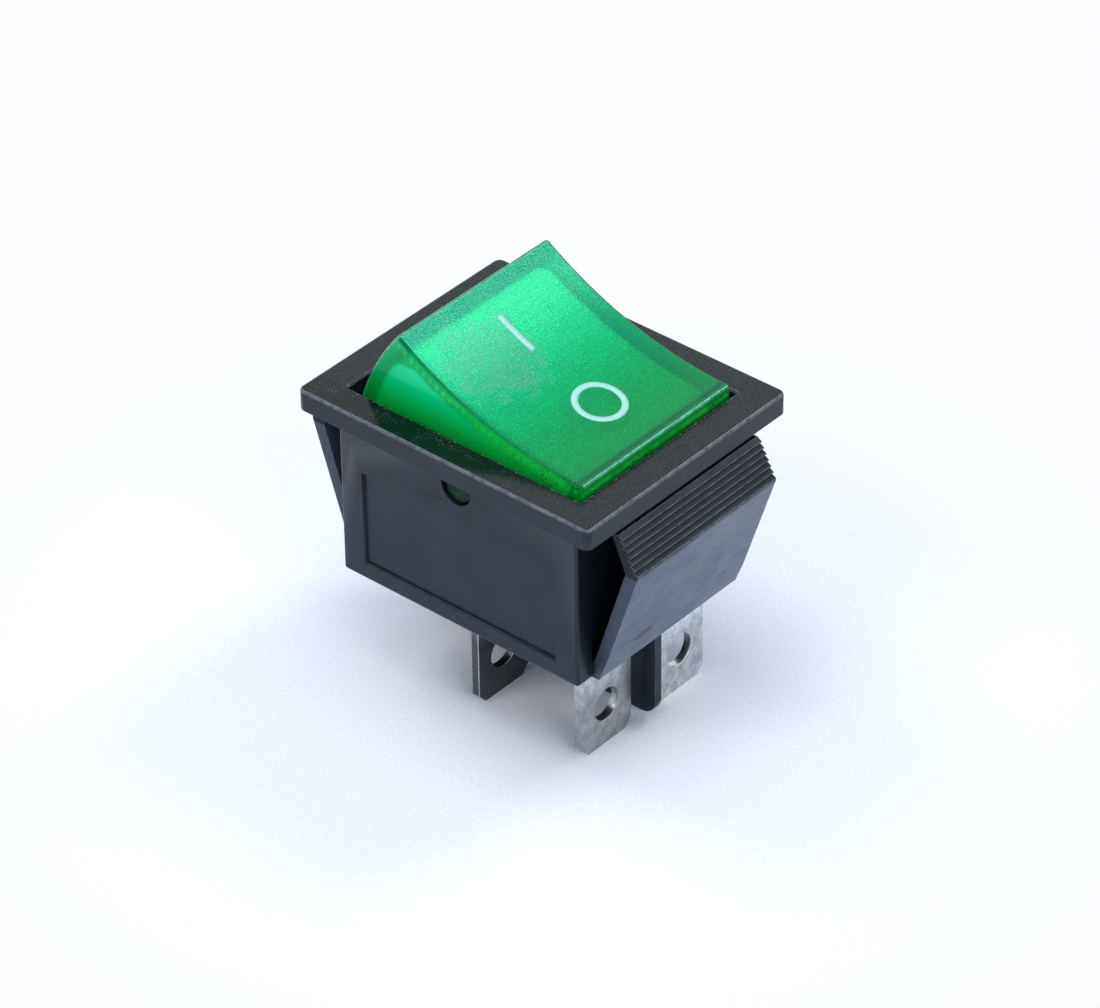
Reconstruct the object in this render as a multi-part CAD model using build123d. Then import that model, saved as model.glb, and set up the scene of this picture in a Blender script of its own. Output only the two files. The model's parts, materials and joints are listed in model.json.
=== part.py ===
from build123d import *
import os
from math import cos, radians, sin, sqrt, tan

# A snap-in rocker main switch with two poles and a lamp in its rocker. Millimetres.
# The origin is the middle of the bezel's underside, where the panel's face lies.
# X runs along the rocker towards its O end, Y across the rocker, Z up out of the panel.
# Everything is drawn as it rests in the photo: the O end pressed, the contacts open.

# The body that goes through the panel, and the bezel round its mouth.
body_length = 25.5
body_width = 21.4
body_depth = 16.0
body_corner = 0.3
bezel_end_lip = 2.75
bezel_side_lip = 1.85
bezel_height = 2.0
bezel_corner = 0.7
bezel_edge = 0.3
mouth_end_wall = 0.3
mouth_edge = 0.15
side_wall = 0.9
floor_thickness = 1.6
end_wall = 1.0

# The four posts at the body's corners stand proud of the end walls between them.
post_width = 1.8
end_recess = 0.65
recess_from = 2.6
recess_to = 7.5

# The shallow window for the rating print on one long side of the body.
label_from_end = 2.4
label_from_top = 5.2
label_from_bottom = 1.6
label_recess = 0.3

# The snap legs, one on each end, with a toothed ramp above the knee.
leg_side_gap = 0.1
leg_top = 0.45
leg_top_out = 0.15
leg_top_thickness = 0.95
knee_out = 1.95
knee_depth = 3.9
knee_thickness = 1.25
leg_waist_out = 1.4
leg_waist_up = 2.0
leg_waist_thickness = 1.15
leg_foot_out = 0.6
leg_root_up = 0.6
tooth_count = 7
tooth_depth = 0.22
tooth_slope = 0.55
tooth_crest = 0.25

# The wall between the blade terminals, under the body.
fin_thickness = 0.8
fin_end_gap = 0.4
fin_above_tips = 0.8
fin_round = 1.5

# The wall between the two poles, inside the body.
divider_thickness = 0.8
divider_height = 5.2

# The rocker, its swing and the pins it turns on.
pivot_depth = 2.0
pin_radius = 1.5
pin_clearance = 0.05
pin_end_gap = 0.3
rocker_tilt = 17.4
rocker_side_gap = 0.5
rocker_swing_gap = 0.22
rocker_tip_gap = 0.27
saddle_height = 6.85
saddle_rise = 1.5
belly_height = 4.8
foot_flare = 0.6
rocker_foot = 1.2
rocker_top_skin = 1.2
rocker_end_skin = 1.4
rocker_side_skin = 1.3
rocker_inner_round = 2.0
rocker_edge = 0.25
lug_radius = 2.6
wall_swing_gap = 0.08
swing_from = 1.7

# The poles, set in from the carrier's sides, their plungers and the plungers' springs.
pole_inset = 0.69
plunger_radius = 1.4
plunger_nose = 1.2
plunger_top = 0.9
plunger_bore = 1.05
plunger_clearance = 0.05
plunger_shoulder_up = 0.5
plunger_blind_wall = 1.4
tube_wall = 0.75
tube_top = 2.8
tube_cap = 0.6
tube_foot_up = 1.1
plunger_spring_wire = 0.16
plunger_spring_gap = 0.1
plunger_spring_turns = 6

# The white carrier inside the rocker.
carrier_up = 0.2
carrier_floor = 1.0
carrier_end_gap = 0.05
carrier_side_gap = 0.3
carrier_pad_length = 3.0
carrier_rim_height = 2.6
carrier_rim_thickness = 0.8
cradle_thickness = 1.0
cradle_height = 1.5
cradle_inset = 2.0

# The neon lamp, its wires and its resistor.
lamp_radius = 1.9
lamp_glass = 0.4
lamp_length = 9.8
lamp_end_gap = 2.8
lamp_floor_gap = 0.1
lamp_pinch = 1.4
lead_radius = 0.25
lead_bend = 0.5
lead_spread = 0.7
lead_inside = 5.6
lead_rim_gap = 2.0
lead_hole_gap = 0.1
lead_tip = 0.5
resistor_radius = 0.85
resistor_waist = 0.75
resistor_lead_run = 1.6
resistor_length = 3.0
resistor_cap = 0.9
resistor_edge = 0.2
lamp_spring_wire = 0.13
lamp_spring_radius = 0.58
lamp_spring_turns = 6
lamp_spring_top_gap = 0.3
lamp_spring_side_gap = 0.1

# The rocking contact bridges.
bridge_width = 3.0
bridge_thickness = 0.8
bridge_angle = 15.0
bridge_rock = 6.5
bridge_valley_half = 3.4
bridge_back_arm = 1.4
bridge_lip = 1.1
bridge_corner = 0.8
bridge_slack = 0.12

# The contact rivets.
contact_from_blade = 1.7
moving_contact_radius = 1.2
moving_contact_height = 0.7
fixed_contact_radius = 1.3
fixed_contact_height = 0.6
rivet_rim = 0.6
rivet_shank = 0.6
rivet_tail = 0.15
closed_gap = 0.03

# The blade terminals.
blade_width = 6.3
blade_thickness = 0.8
blade_length = 10.2
blade_hole = 3.1
blade_hole_up = 4.0
blade_corner_across = 0.8
blade_corner_up = 0.9
common_front = -0.5
load_wall_gap = 0.4
slot_clearance = 0.05
shelf_pad_height = 0.67
shelf_margin = 0.1
pad_inset = 0.6
joggle_up = 0.5
fulcrum_width = 2.6
fulcrum_height = 1.0
ear_thickness = 0.8
ear_clearance = 0.1
ear_rise = 1.2

# How far a cutting tool runs past the face it starts from, and how near counts as on a face.
# Thin wires have few sides, which keeps the springs light.
past = 1.0
near = 0.02
wire_sides = 4

# The outside, worked out from the sizes above.
pivot = (0.0, 0.0, -pivot_depth)
body_half = body_length / 2
body_side = body_width / 2
bezel_half = body_half + bezel_end_lip
bezel_side = body_side + bezel_side_lip
mouth_half = body_half - mouth_end_wall
mouth_side = body_side - side_wall
post_inner = body_side - post_width
floor_top = floor_thickness - body_depth
wall_low = body_half - end_recess
cavity_half = wall_low - end_wall
blade_tip = body_depth + blade_length
blade_half = blade_width / 2
load_front = cavity_half - load_wall_gap

# The rocker just clears the mouth's ends, pressed or passing through level.
tilt_sin = sin(radians(rocker_tilt))
tilt_cos = cos(radians(rocker_tilt))
rocker_side = mouth_side - rocker_side_gap
rocker_inner_side = rocker_side - rocker_side_skin
rocker_reach = mouth_half - rocker_swing_gap
belly_half = sqrt(rocker_reach ** 2 - belly_height ** 2)
foot_half = belly_half + foot_flare
tip_height = saddle_height + saddle_rise
tip_half = (mouth_half - rocker_tip_gap - tip_height * tilt_sin) / tilt_cos
saddle_radius = (tip_half ** 2 + saddle_rise ** 2) / (2 * saddle_rise)
saddle_centre = saddle_height + saddle_radius
swing_radius = rocker_reach + wall_swing_gap

# The contacts, stacked up from the body's floor to the plunger's nose.
shelf_bottom = floor_top + shelf_pad_height
shelf_top = shelf_bottom + blade_thickness
joggle_bottom = floor_top + joggle_up
contact_station = load_front - contact_from_blade
bridge_front = contact_station + bridge_lip
bridge_back = bridge_valley_half + bridge_back_arm
arm_rise = bridge_valley_half * tan(radians(bridge_angle))
contact_drop = moving_contact_height - arm_rise
rock_sin = sin(radians(bridge_rock))
rock_cos = cos(radians(bridge_rock))
closed_contact_z = shelf_top + fixed_contact_height + closed_gap
fulcrum_z = closed_contact_z + contact_station * rock_sin + contact_drop * rock_cos
fixed_contact_x = contact_station * rock_cos - contact_drop * rock_sin
nose_stack = (bridge_thickness + plunger_nose) / cos(radians(bridge_angle))
nose_centre = -pivot_depth - fulcrum_z - nose_stack - bridge_slack
plunger_reach = nose_centre + plunger_nose
plunger_shoulder = nose_centre - plunger_shoulder_up
plunger_blind = plunger_shoulder - plunger_blind_wall
plunger_hole = plunger_radius + plunger_clearance
tube_foot = nose_centre - tube_foot_up
plunger_spring_radius = plunger_bore - plunger_spring_gap - plunger_spring_wire

# The carrier and the lamp, about the rocker's pivot.
carrier_half = belly_half - rocker_end_skin - carrier_end_gap
carrier_side = rocker_inner_side - carrier_side_gap
carrier_top = carrier_up + carrier_floor
lamp_height = carrier_top + lamp_floor_gap + lamp_radius
lead_column = carrier_half - carrier_rim_thickness - lead_rim_gap
lamp_to = lead_column - lamp_end_gap
lamp_from = lamp_to - lamp_length
lamp_spring_reach = lamp_spring_radius + lamp_spring_wire
lead_row = carrier_side - pole_inset
pole_offset = lead_row - lamp_spring_reach - lamp_spring_side_gap - bridge_width / 2
lamp_spring_x = lead_column * tilt_cos - lead_tip * tilt_sin
shelf_inner = lamp_spring_x - lamp_spring_reach - shelf_margin
resistor_to = lead_row - resistor_lead_run
resistor_from = resistor_to - resistor_length


def block(x0, x1, y0, y1, z0, z1):
    """A box between six planes."""
    middle = Pos((x0 + x1) / 2, (y0 + y1) / 2, (z0 + z1) / 2)
    return middle * Box(x1 - x0, y1 - y0, z1 - z0)


def slab(outline, y0, y1):
    """An outline drawn in X and Z, made solid between two Y planes."""
    face = Plane.XZ.offset(-y1) * make_face(outline)
    return extrude(face, y1 - y0, dir=(0, -1, 0))


def polygon(points):
    """A closed outline through the points."""
    return Polyline(*points, close=True)


def rod(radius, x, y, z0, z1):
    """An upright cylinder."""
    return Pos(x, y, (z0 + z1) / 2) * Cylinder(radius, z1 - z0)


def cross_rod(radius, x, z, y0, y1):
    """A cylinder lying along Y."""
    return Pos(x, (y0 + y1) / 2, z) * Rot(90, 0, 0) * Cylinder(radius, y1 - y0)


def long_rod(radius, y, z, x0, x1):
    """A cylinder lying along X."""
    return Pos((x0 + x1) / 2, y, z) * Rot(0, 90, 0) * Cylinder(radius, x1 - x0)


def domed_rivet(head_radius, head_height, shank_length, tail_height):
    """A contact rivet with a domed head up, its head seated on Z zero."""
    rise = head_height * (1 - rivet_rim)
    dome_radius = (head_radius ** 2 + rise ** 2) / (2 * rise)
    dome = Pos(0, 0, head_height - dome_radius) * Sphere(dome_radius)
    rivet = rod(head_radius, 0, 0, 0, head_height) & dome
    rivet += rod(rivet_shank, 0, 0, -shank_length - tail_height, 0)
    if tail_height > 0:
        rivet += rod(rivet_shank + tail_height, 0, 0, -shank_length - tail_height, -shank_length)
    return rivet


def spring(radius, wire, length, turns):
    """A round-wire spring standing on Z zero, its end coils included in the length."""
    rise = length - 2 * wire
    path = Pos(0, 0, wire) * Helix(pitch=rise / turns, height=rise, radius=radius)
    section = Plane(origin=path @ 0, z_dir=path % 0) * RegularPolygon(wire, wire_sides)
    return sweep(section, path=path, is_frenet=True)


def wire_through(points):
    """A bent wire along a path with rounded corners."""
    path = FilletPolyline(*points, radius=lead_bend)
    section = Plane(origin=path @ 0, z_dir=path % 0) * RegularPolygon(lead_radius, 2 * wire_sides)
    return sweep(section, path=path)


def to_rest(shape):
    """Takes a shape drawn about the rocker's pivot to the pressed rest position."""
    return Pos(*pivot) * Rot(0, rocker_tilt, 0) * shape


def saddle_z(x, skin=0.0):
    """Height of the rocker's hollow top, or of a skin under it, above the pivot."""
    radius = saddle_radius + skin
    return saddle_centre - sqrt(radius ** 2 - x ** 2)


def rocker_outline(top_skin, end_skin, foot_z):
    """The rocker's long section, drawn inside its own skin."""
    tip = tip_half - end_skin
    belly = belly_half - end_skin
    foot = foot_half - end_skin
    tip_z = saddle_z(tip, top_skin)
    return (
        ThreePointArc((-tip, tip_z), (0, saddle_z(0, top_skin)), (tip, tip_z))
        + ThreePointArc((tip, tip_z), (belly, belly_height), (foot, foot_z))
        + Line((foot, foot_z), (-foot, foot_z))
        + ThreePointArc((-foot, foot_z), (-belly, belly_height), (-tip, tip_z))
    )


def leg_outline():
    """The snap leg's section on the O end, teeth and all."""
    top_x = bezel_half + leg_top_out
    knee_x = bezel_half + knee_out
    waist_x = body_half + leg_waist_out
    waist_z = leg_waist_up - body_depth
    foot_x = body_half + leg_foot_out
    ramp = []
    for tooth in range(tooth_count):
        upper = tooth / tooth_count
        lower = (tooth + 1) / tooth_count
        ledge_x = top_x + (knee_x - top_x) * upper
        ledge_z = -leg_top - (knee_depth - leg_top) * upper
        crest_x = top_x + (knee_x - top_x) * lower
        crest_z = -leg_top - (knee_depth - leg_top) * lower
        pitch = ledge_z - crest_z
        ramp.append((ledge_x - tooth_depth, ledge_z))
        ramp.append((crest_x, ledge_z - pitch * tooth_slope))
        ramp.append((crest_x, ledge_z - pitch * (tooth_slope + tooth_crest)))
    return polygon(
        [(top_x - leg_top_thickness, -leg_top)]
        + ramp
        + [
            (knee_x, -knee_depth),
            (waist_x, waist_z),
            (foot_x, -body_depth),
            (wall_low - past, -body_depth),
            (wall_low - past, leg_root_up - body_depth),
            (wall_low, leg_root_up - body_depth),
            (waist_x - leg_waist_thickness, waist_z),
            (knee_x - knee_thickness, -knee_depth),
        ]
    )


def make_housing():
    """The one-piece black moulding: bezel, body, snap legs and the outside fin."""
    bezel = block(-bezel_half, bezel_half, -bezel_side, bezel_side, 0, bezel_height)
    bezel = fillet(bezel.edges().filter_by(Axis.Z), bezel_corner)
    bezel = fillet(bezel.faces().sort_by(Axis.Z)[-1].edges(), bezel_edge)

    body = block(-body_half, body_half, -body_side, body_side, -body_depth, 0)
    body = fillet(body.edges().filter_by(Axis.Z), body_corner)
    body = fillet(body.faces().sort_by(Axis.Z)[0].edges(), body_corner)
    shell = bezel + body - end_recesses()

    swing = cross_rod(swing_radius, 0, -pivot_depth, -mouth_side, mouth_side)
    shell -= swing & block(-body_half, body_half, -mouth_side, mouth_side, floor_top, 0)
    shell -= block(-mouth_half, mouth_half, -mouth_side, mouth_side, -swing_from, bezel_height + past)
    shell -= block(-cavity_half, cavity_half, -mouth_side, mouth_side, floor_top, 0)
    mouth = shell.edges().filter_by(lambda edge: on_mouth(edge.center()))
    shell = chamfer(mouth, mouth_edge)

    divider_half = divider_thickness / 2
    divider_top = floor_top + divider_height
    shell += block(-cavity_half, cavity_half, -divider_half, divider_half, floor_top, divider_top)
    shell -= cross_rod(pin_radius + pin_clearance, 0, -pivot_depth, -bezel_side, bezel_side)

    label_x = body_half - label_from_end
    label_bottom = label_from_bottom - body_depth
    shell -= block(
        -label_x, label_x, -body_side - past, label_recess - body_side, label_bottom, -label_from_top
    )

    leg_side = post_inner - leg_side_gap
    leg = slab(leg_outline(), -leg_side, leg_side)
    shell += leg
    shell += leg.mirror(Plane.YZ)
    shell += make_fin()

    for pole in (-pole_offset, pole_offset):
        shell += shelf_rest(pole)
        shell -= blade_slot(common_front, pole)
        shell -= blade_slot(load_front, pole)
    return shell


def on_mouth(point):
    """True for the middle of an edge where the opening meets the bezel's top."""
    if abs(point.Z - bezel_height) > near:
        return False
    return abs(point.X) <= mouth_half + near and abs(point.Y) <= mouth_side + near


def end_recesses():
    """What is taken off both end walls between the posts, sloping in at its top."""
    cuts = []
    for side in (-1, 1):
        outer = side * (body_half + past)
        high = side * body_half
        low = side * wall_low
        bottom = -body_depth - past
        outline = polygon(
            [(outer, -recess_from), (high, -recess_from), (low, -recess_to), (low, bottom), (outer, bottom)]
        )
        cuts.append(slab(outline, -post_inner, post_inner))
    return cuts


def make_fin():
    """The wall that keeps the two poles' connectors apart, round at its lower corners."""
    fin_half = body_half - fin_end_gap
    thick = fin_thickness / 2
    bottom = fin_above_tips - blade_tip
    fin = block(-fin_half, fin_half, -thick, thick, bottom, (floor_top - body_depth) / 2)
    corners = fin.edges().filter_by(Axis.Y).filter_by(lambda edge: abs(edge.center().Z - bottom) < near)
    return fillet(corners, fin_round)


def shelf_rest(pole):
    """Raised pads on the body's floor that carry the bent parts of the terminals."""
    low = pole - blade_half
    high = pole + blade_half
    load_back = load_front - blade_thickness
    load_pad = block(
        shelf_inner + pad_inset, load_back - pad_inset, low, high, floor_top, shelf_bottom
    )
    common_pad = block(
        common_front + slot_clearance, blade_thickness / 2, low, high, floor_top, joggle_bottom
    )
    return load_pad + common_pad


def blade_slot(front, pole):
    """The slit through the body's floor that a blade passes."""
    half = blade_half + slot_clearance
    return block(
        front - blade_thickness - slot_clearance,
        front + slot_clearance,
        pole - half,
        pole + half,
        -body_depth - past,
        floor_top + past,
    )


def make_lens():
    """The green rocker: a hollow cap with a lug and a pin on each side."""
    shape = slab(rocker_outline(0.0, 0.0, -rocker_foot), -rocker_side, rocker_side)
    shape = fillet(shape.edges().filter_by(lambda edge: on_rim(edge.center())), rocker_edge)
    inner_outline = rocker_outline(rocker_top_skin, rocker_end_skin, -rocker_foot - past)
    hollow = slab(inner_outline, -rocker_inner_side, rocker_inner_side)
    upper_corners = hollow.edges().filter_by(Axis.Y).sort_by(Axis.Z)[-2:]
    shape -= fillet(upper_corners, rocker_inner_round)
    for side in (-1, 1):
        inner_face = side * rocker_inner_side
        outer_face = side * rocker_side
        pin_end = side * (body_side - pin_end_gap)
        shape += cross_rod(lug_radius, 0, 0, min(inner_face, outer_face), max(inner_face, outer_face))
        shape += cross_rod(pin_radius, 0, 0, min(inner_face, pin_end), max(inner_face, pin_end))
    return shape


def on_rim(point):
    """True for the middle of an edge round the rocker's top or down its four corners."""
    on_top = saddle_height - near < point.Z < tip_height + near
    on_corner = abs(point.X) > tip_half and abs(point.Y) > rocker_side - near
    return on_top or (on_corner and point.Z > near - rocker_foot)


def tube(radius, foot, top):
    """An upright rod on each pole line, about the rocker's pivot."""
    return rod(radius, 0, -pole_offset, foot, top) + rod(radius, 0, pole_offset, foot, top)


def make_carrier():
    """The white carrier: floor, end rims, plunger tubes and the lamp's two cradles."""
    shape = block(-carrier_half, carrier_half, -carrier_side, carrier_side, carrier_up, carrier_top)
    rim_top = carrier_top + carrier_rim_height
    for side in (-1, 1):
        inner = side * (carrier_half - carrier_rim_thickness)
        outer = side * carrier_half
        shape += block(
            min(inner, outer), max(inner, outer), -carrier_side, carrier_side, carrier_up, rim_top
        )
        middle = side * (carrier_half - carrier_pad_length)
        shape += block(
            middle - carrier_pad_length / 2,
            middle + carrier_pad_length / 2,
            -rocker_inner_side,
            rocker_inner_side,
            carrier_up,
            carrier_top,
        )
    shape += tube(plunger_hole + tube_wall, -tube_foot, tube_top + tube_cap)
    shape -= tube(plunger_hole, -tube_foot - past, tube_top)
    for x in (lamp_from + cradle_inset, lamp_to - cradle_inset):
        shape += block(
            x - cradle_thickness / 2,
            x + cradle_thickness / 2,
            -lamp_radius,
            lamp_radius,
            carrier_top,
            carrier_top + cradle_height,
        )
    shape -= long_rod(lamp_radius, 0, lamp_height, lamp_from, lamp_to)
    for row in (-lead_row, lead_row):
        shape -= rod(lead_radius + lead_hole_gap, lead_column, row, carrier_up - past, carrier_top + past)
    return shape


def lead_points(side):
    """The lamp wire's corners: from inside the glass to the resistor or to the spring."""
    y = side * lead_spread
    start = (lamp_to - lead_inside, y, lamp_height)
    corner = (lead_column, y, lamp_height)
    if side > 0:
        return [start, corner, (lead_column, resistor_from, lamp_height)]
    row = side * lead_row
    return [start, corner, (lead_column, row, lamp_height), (lead_column, row, -lead_tip)]


def make_lamp(leads):
    """The glass capsule, hollow, with its wires sealed through the solid end."""
    back = lamp_from + lamp_radius
    glass = long_rod(lamp_radius, 0, lamp_height, back, lamp_to)
    glass += Pos(back, 0, lamp_height) * Sphere(lamp_radius)
    inner = lamp_radius - lamp_glass
    glass -= long_rod(inner, 0, lamp_height, back, lamp_to - lamp_pinch)
    glass -= Pos(back, 0, lamp_height) * Sphere(inner)
    return glass - leads


def make_resistor():
    """The resistor's body, round with slightly swollen ends, lying across the rocker."""
    shape = cross_rod(resistor_waist, lead_column, lamp_height, resistor_from, resistor_to)
    near_cap = (resistor_from, resistor_from + resistor_cap)
    far_cap = (resistor_to - resistor_cap, resistor_to)
    for y0, y1 in (near_cap, far_cap):
        shape += cross_rod(resistor_radius, lead_column, lamp_height, y0, y1)
    ends = shape.faces().sort_by(Axis.Y)
    return chamfer(ends[0].edges() + ends[-1].edges(), resistor_edge)


def make_plunger():
    """A hollow plunger with a round nose, its nose tip at full reach under the pivot."""
    half_turn = radians(45)
    nose_side = (plunger_nose * sin(half_turn), -nose_centre - plunger_nose * cos(half_turn))
    outline = (
        Line((0, -plunger_blind), (plunger_bore, -plunger_blind))
        + Line((plunger_bore, -plunger_blind), (plunger_bore, -plunger_top))
        + Line((plunger_bore, -plunger_top), (plunger_radius, -plunger_top))
        + Line((plunger_radius, -plunger_top), (plunger_radius, -plunger_shoulder))
        + Line((plunger_radius, -plunger_shoulder), (plunger_nose, -nose_centre))
        + ThreePointArc((plunger_nose, -nose_centre), nose_side, (0, -plunger_reach))
        + Line((0, -plunger_reach), (0, -plunger_blind))
    )
    return revolve(Plane.XZ * make_face(outline), Axis.Z)


def make_plunger_spring():
    """The spring from the tube's closed end down to the plunger's blind end."""
    length = tube_top + plunger_blind
    coil = spring(plunger_spring_radius, plunger_spring_wire, length, plunger_spring_turns)
    return Pos(0, 0, -plunger_blind) * coil


def make_bridge():
    """A boat-shaped bridge drawn level, its rocking edge on the origin."""
    valley = bridge_thickness / cos(radians(bridge_angle))
    top = arm_rise + bridge_thickness
    top_half = (top - valley) / tan(radians(bridge_angle))
    outline = polygon(
        [
            (0, 0),
            (bridge_valley_half, arm_rise),
            (bridge_front, arm_rise),
            (bridge_front, top),
            (top_half, top),
            (0, valley),
            (-top_half, top),
            (-bridge_back, top),
            (-bridge_back, arm_rise),
            (-bridge_valley_half, arm_rise),
        ]
    )
    shape = slab(outline, -bridge_width / 2, bridge_width / 2)
    shape -= rod(rivet_shank, contact_station, 0, 0, top + past)
    ends = shape.edges().filter_by(Axis.Z).filter_by(lambda e: abs(e.center().X) > bridge_back - near)
    return fillet(ends, bridge_corner)


def rocked(shape, pole):
    """Sets a bridge part down on its fulcrum with the contact end lifted."""
    return Pos(0, pole, fulcrum_z) * Rot(0, -bridge_rock, 0) * shape


def make_moving_contact():
    """The bridge's contact rivet, its head under the arm."""
    rivet = domed_rivet(moving_contact_radius, moving_contact_height, bridge_thickness, rivet_tail)
    return Pos(contact_station, 0, arm_rise) * Rot(180, 0, 0) * rivet


def make_fixed_contact():
    """The load terminal's contact rivet, its shank through the shelf."""
    rivet = domed_rivet(fixed_contact_radius, fixed_contact_height, blade_thickness, 0.0)
    return Pos(fixed_contact_x, 0, shelf_top) * rivet


def blade(front, top):
    """A blade terminal's flat part: bevelled tip corners and one round hole."""
    half = blade_half
    points = [
        (-half, top),
        (-half, -blade_tip + blade_corner_up),
        (-half + blade_corner_across, -blade_tip),
        (half - blade_corner_across, -blade_tip),
        (half, -blade_tip + blade_corner_up),
        (half, top),
    ]
    face = Plane.YZ.offset(front - blade_thickness) * make_face(polygon(points))
    shape = extrude(face, blade_thickness, dir=(1, 0, 0))
    hole_z = blade_hole_up - blade_tip
    return shape - long_rod(blade_hole / 2, 0, hole_z, front - blade_thickness - past, front + past)


def make_load_terminal():
    """A blade with its top bent inwards into the shelf of the fixed contact."""
    shape = blade(load_front, shelf_top)
    shape += block(shelf_inner, load_front, -blade_half, blade_half, shelf_bottom, shelf_top)
    bend = shape.edges().filter_by(Axis.Y).sort_by(lambda edge: edge.center().X + edge.center().Z)[-1]
    shape = fillet(bend, blade_thickness)
    return shape - rod(rivet_shank, fixed_contact_x, 0, shelf_bottom - past, shelf_top + past)


def make_common_terminal():
    """A blade with a joggle to the middle, a fulcrum edge and two guiding ears."""
    side = blade_half
    edge = blade_thickness / 2
    joggle_top = joggle_bottom + blade_thickness
    shape = blade(common_front, joggle_top)
    shape += block(common_front - blade_thickness, edge, -side, side, joggle_bottom, joggle_top)
    shape += block(-edge, edge, -side, side, joggle_bottom, fulcrum_z - fulcrum_height)
    shape += block(-edge, edge, -fulcrum_width / 2, fulcrum_width / 2, joggle_bottom, fulcrum_z)
    ear_inner = bridge_width / 2 + ear_clearance
    ear_outer = ear_inner + ear_thickness
    for y0, y1 in ((-ear_outer, -ear_inner), (ear_inner, ear_outer)):
        shape += block(-edge, edge, y0, y1, joggle_bottom, fulcrum_z + ear_rise)
    return shape


def make_lamp_spring():
    """The lamp's contact spring, from the load terminal's shelf up to the carrier."""
    carrier_z = -pivot_depth - lead_column * tilt_sin + carrier_up * tilt_cos
    tilt_drop = lamp_spring_reach * tilt_sin / tilt_cos
    top = carrier_z - tilt_drop - lamp_spring_top_gap
    coil = spring(lamp_spring_radius, lamp_spring_wire, top - shelf_top, lamp_spring_turns)
    return Pos(lamp_spring_x, 0, shelf_top) * coil


os.makedirs("parts", exist_ok=True)

lead_a = wire_through(lead_points(-1))
lead_b = wire_through(lead_points(1))
resistor_wire = wire_through(
    [
        (lead_column, resistor_to, lamp_height),
        (lead_column, lead_row, lamp_height),
        (lead_column, lead_row, -lead_tip),
    ]
)
plunger = make_plunger()
plunger_spring = make_plunger_spring()
bridge = make_bridge()
moving_contact = make_moving_contact()
fixed_contact = make_fixed_contact()
load_terminal = make_load_terminal()
common_terminal = make_common_terminal()
lamp_spring = make_lamp_spring()

pieces = {
    "housing": make_housing(),
    "rocker_lens": to_rest(make_lens()),
    "rocker_carrier": to_rest(make_carrier()),
    "lamp_bulb": to_rest(make_lamp([lead_a, lead_b])),
    "lamp_lead_a": to_rest(lead_a),
    "lamp_lead_b": to_rest(lead_b),
    "lamp_resistor": to_rest(make_resistor()),
    "resistor_lead": to_rest(resistor_wire),
}
for name, side in (("a", -1), ("b", 1)):
    pole = side * pole_offset
    pieces["plunger_" + name] = to_rest(Pos(0, pole, 0) * plunger)
    pieces["plunger_spring_" + name] = to_rest(Pos(0, pole, 0) * plunger_spring)
    pieces["contact_bridge_" + name] = rocked(bridge, pole)
    pieces["moving_contact_" + name] = rocked(moving_contact, pole)
    pieces["fixed_contact_" + name] = Pos(0, pole, 0) * fixed_contact
    pieces["load_terminal_" + name] = Pos(0, pole, 0) * load_terminal
    pieces["common_terminal_" + name] = Pos(0, pole, 0) * common_terminal
    pieces["lamp_spring_" + name] = Pos(0, side * lead_row, 0) * lamp_spring

for name, shape in pieces.items():
    export_step(shape, "parts/" + name + ".step")
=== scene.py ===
import json
from math import atan2, cos, hypot, pi, radians, sin, sqrt

import bmesh
import bpy
from mathutils import Matrix, Vector


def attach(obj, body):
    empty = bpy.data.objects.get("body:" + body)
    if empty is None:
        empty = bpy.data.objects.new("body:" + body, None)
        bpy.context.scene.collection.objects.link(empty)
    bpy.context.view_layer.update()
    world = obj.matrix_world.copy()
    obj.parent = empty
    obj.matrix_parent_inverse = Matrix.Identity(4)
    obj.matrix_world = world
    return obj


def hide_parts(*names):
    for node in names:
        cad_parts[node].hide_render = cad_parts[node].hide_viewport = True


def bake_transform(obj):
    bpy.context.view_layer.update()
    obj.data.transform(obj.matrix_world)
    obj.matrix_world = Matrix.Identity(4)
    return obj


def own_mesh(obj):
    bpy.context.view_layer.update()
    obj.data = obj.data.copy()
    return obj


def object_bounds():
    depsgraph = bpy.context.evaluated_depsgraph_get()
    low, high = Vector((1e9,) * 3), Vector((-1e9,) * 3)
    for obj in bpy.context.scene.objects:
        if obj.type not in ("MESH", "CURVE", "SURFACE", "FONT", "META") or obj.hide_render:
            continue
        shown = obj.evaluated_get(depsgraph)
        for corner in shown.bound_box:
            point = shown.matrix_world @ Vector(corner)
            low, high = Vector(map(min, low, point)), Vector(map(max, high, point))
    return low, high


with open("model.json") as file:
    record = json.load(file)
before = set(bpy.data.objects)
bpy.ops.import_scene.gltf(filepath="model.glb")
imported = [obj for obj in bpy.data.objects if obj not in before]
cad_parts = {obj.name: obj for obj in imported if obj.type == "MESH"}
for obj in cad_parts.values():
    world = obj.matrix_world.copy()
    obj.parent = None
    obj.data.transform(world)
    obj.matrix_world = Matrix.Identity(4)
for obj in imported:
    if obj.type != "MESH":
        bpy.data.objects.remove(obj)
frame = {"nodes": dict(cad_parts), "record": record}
cad_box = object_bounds()

# Sizes are in millimetres and become metres where they meet the scene.
MM = 0.001

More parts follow.
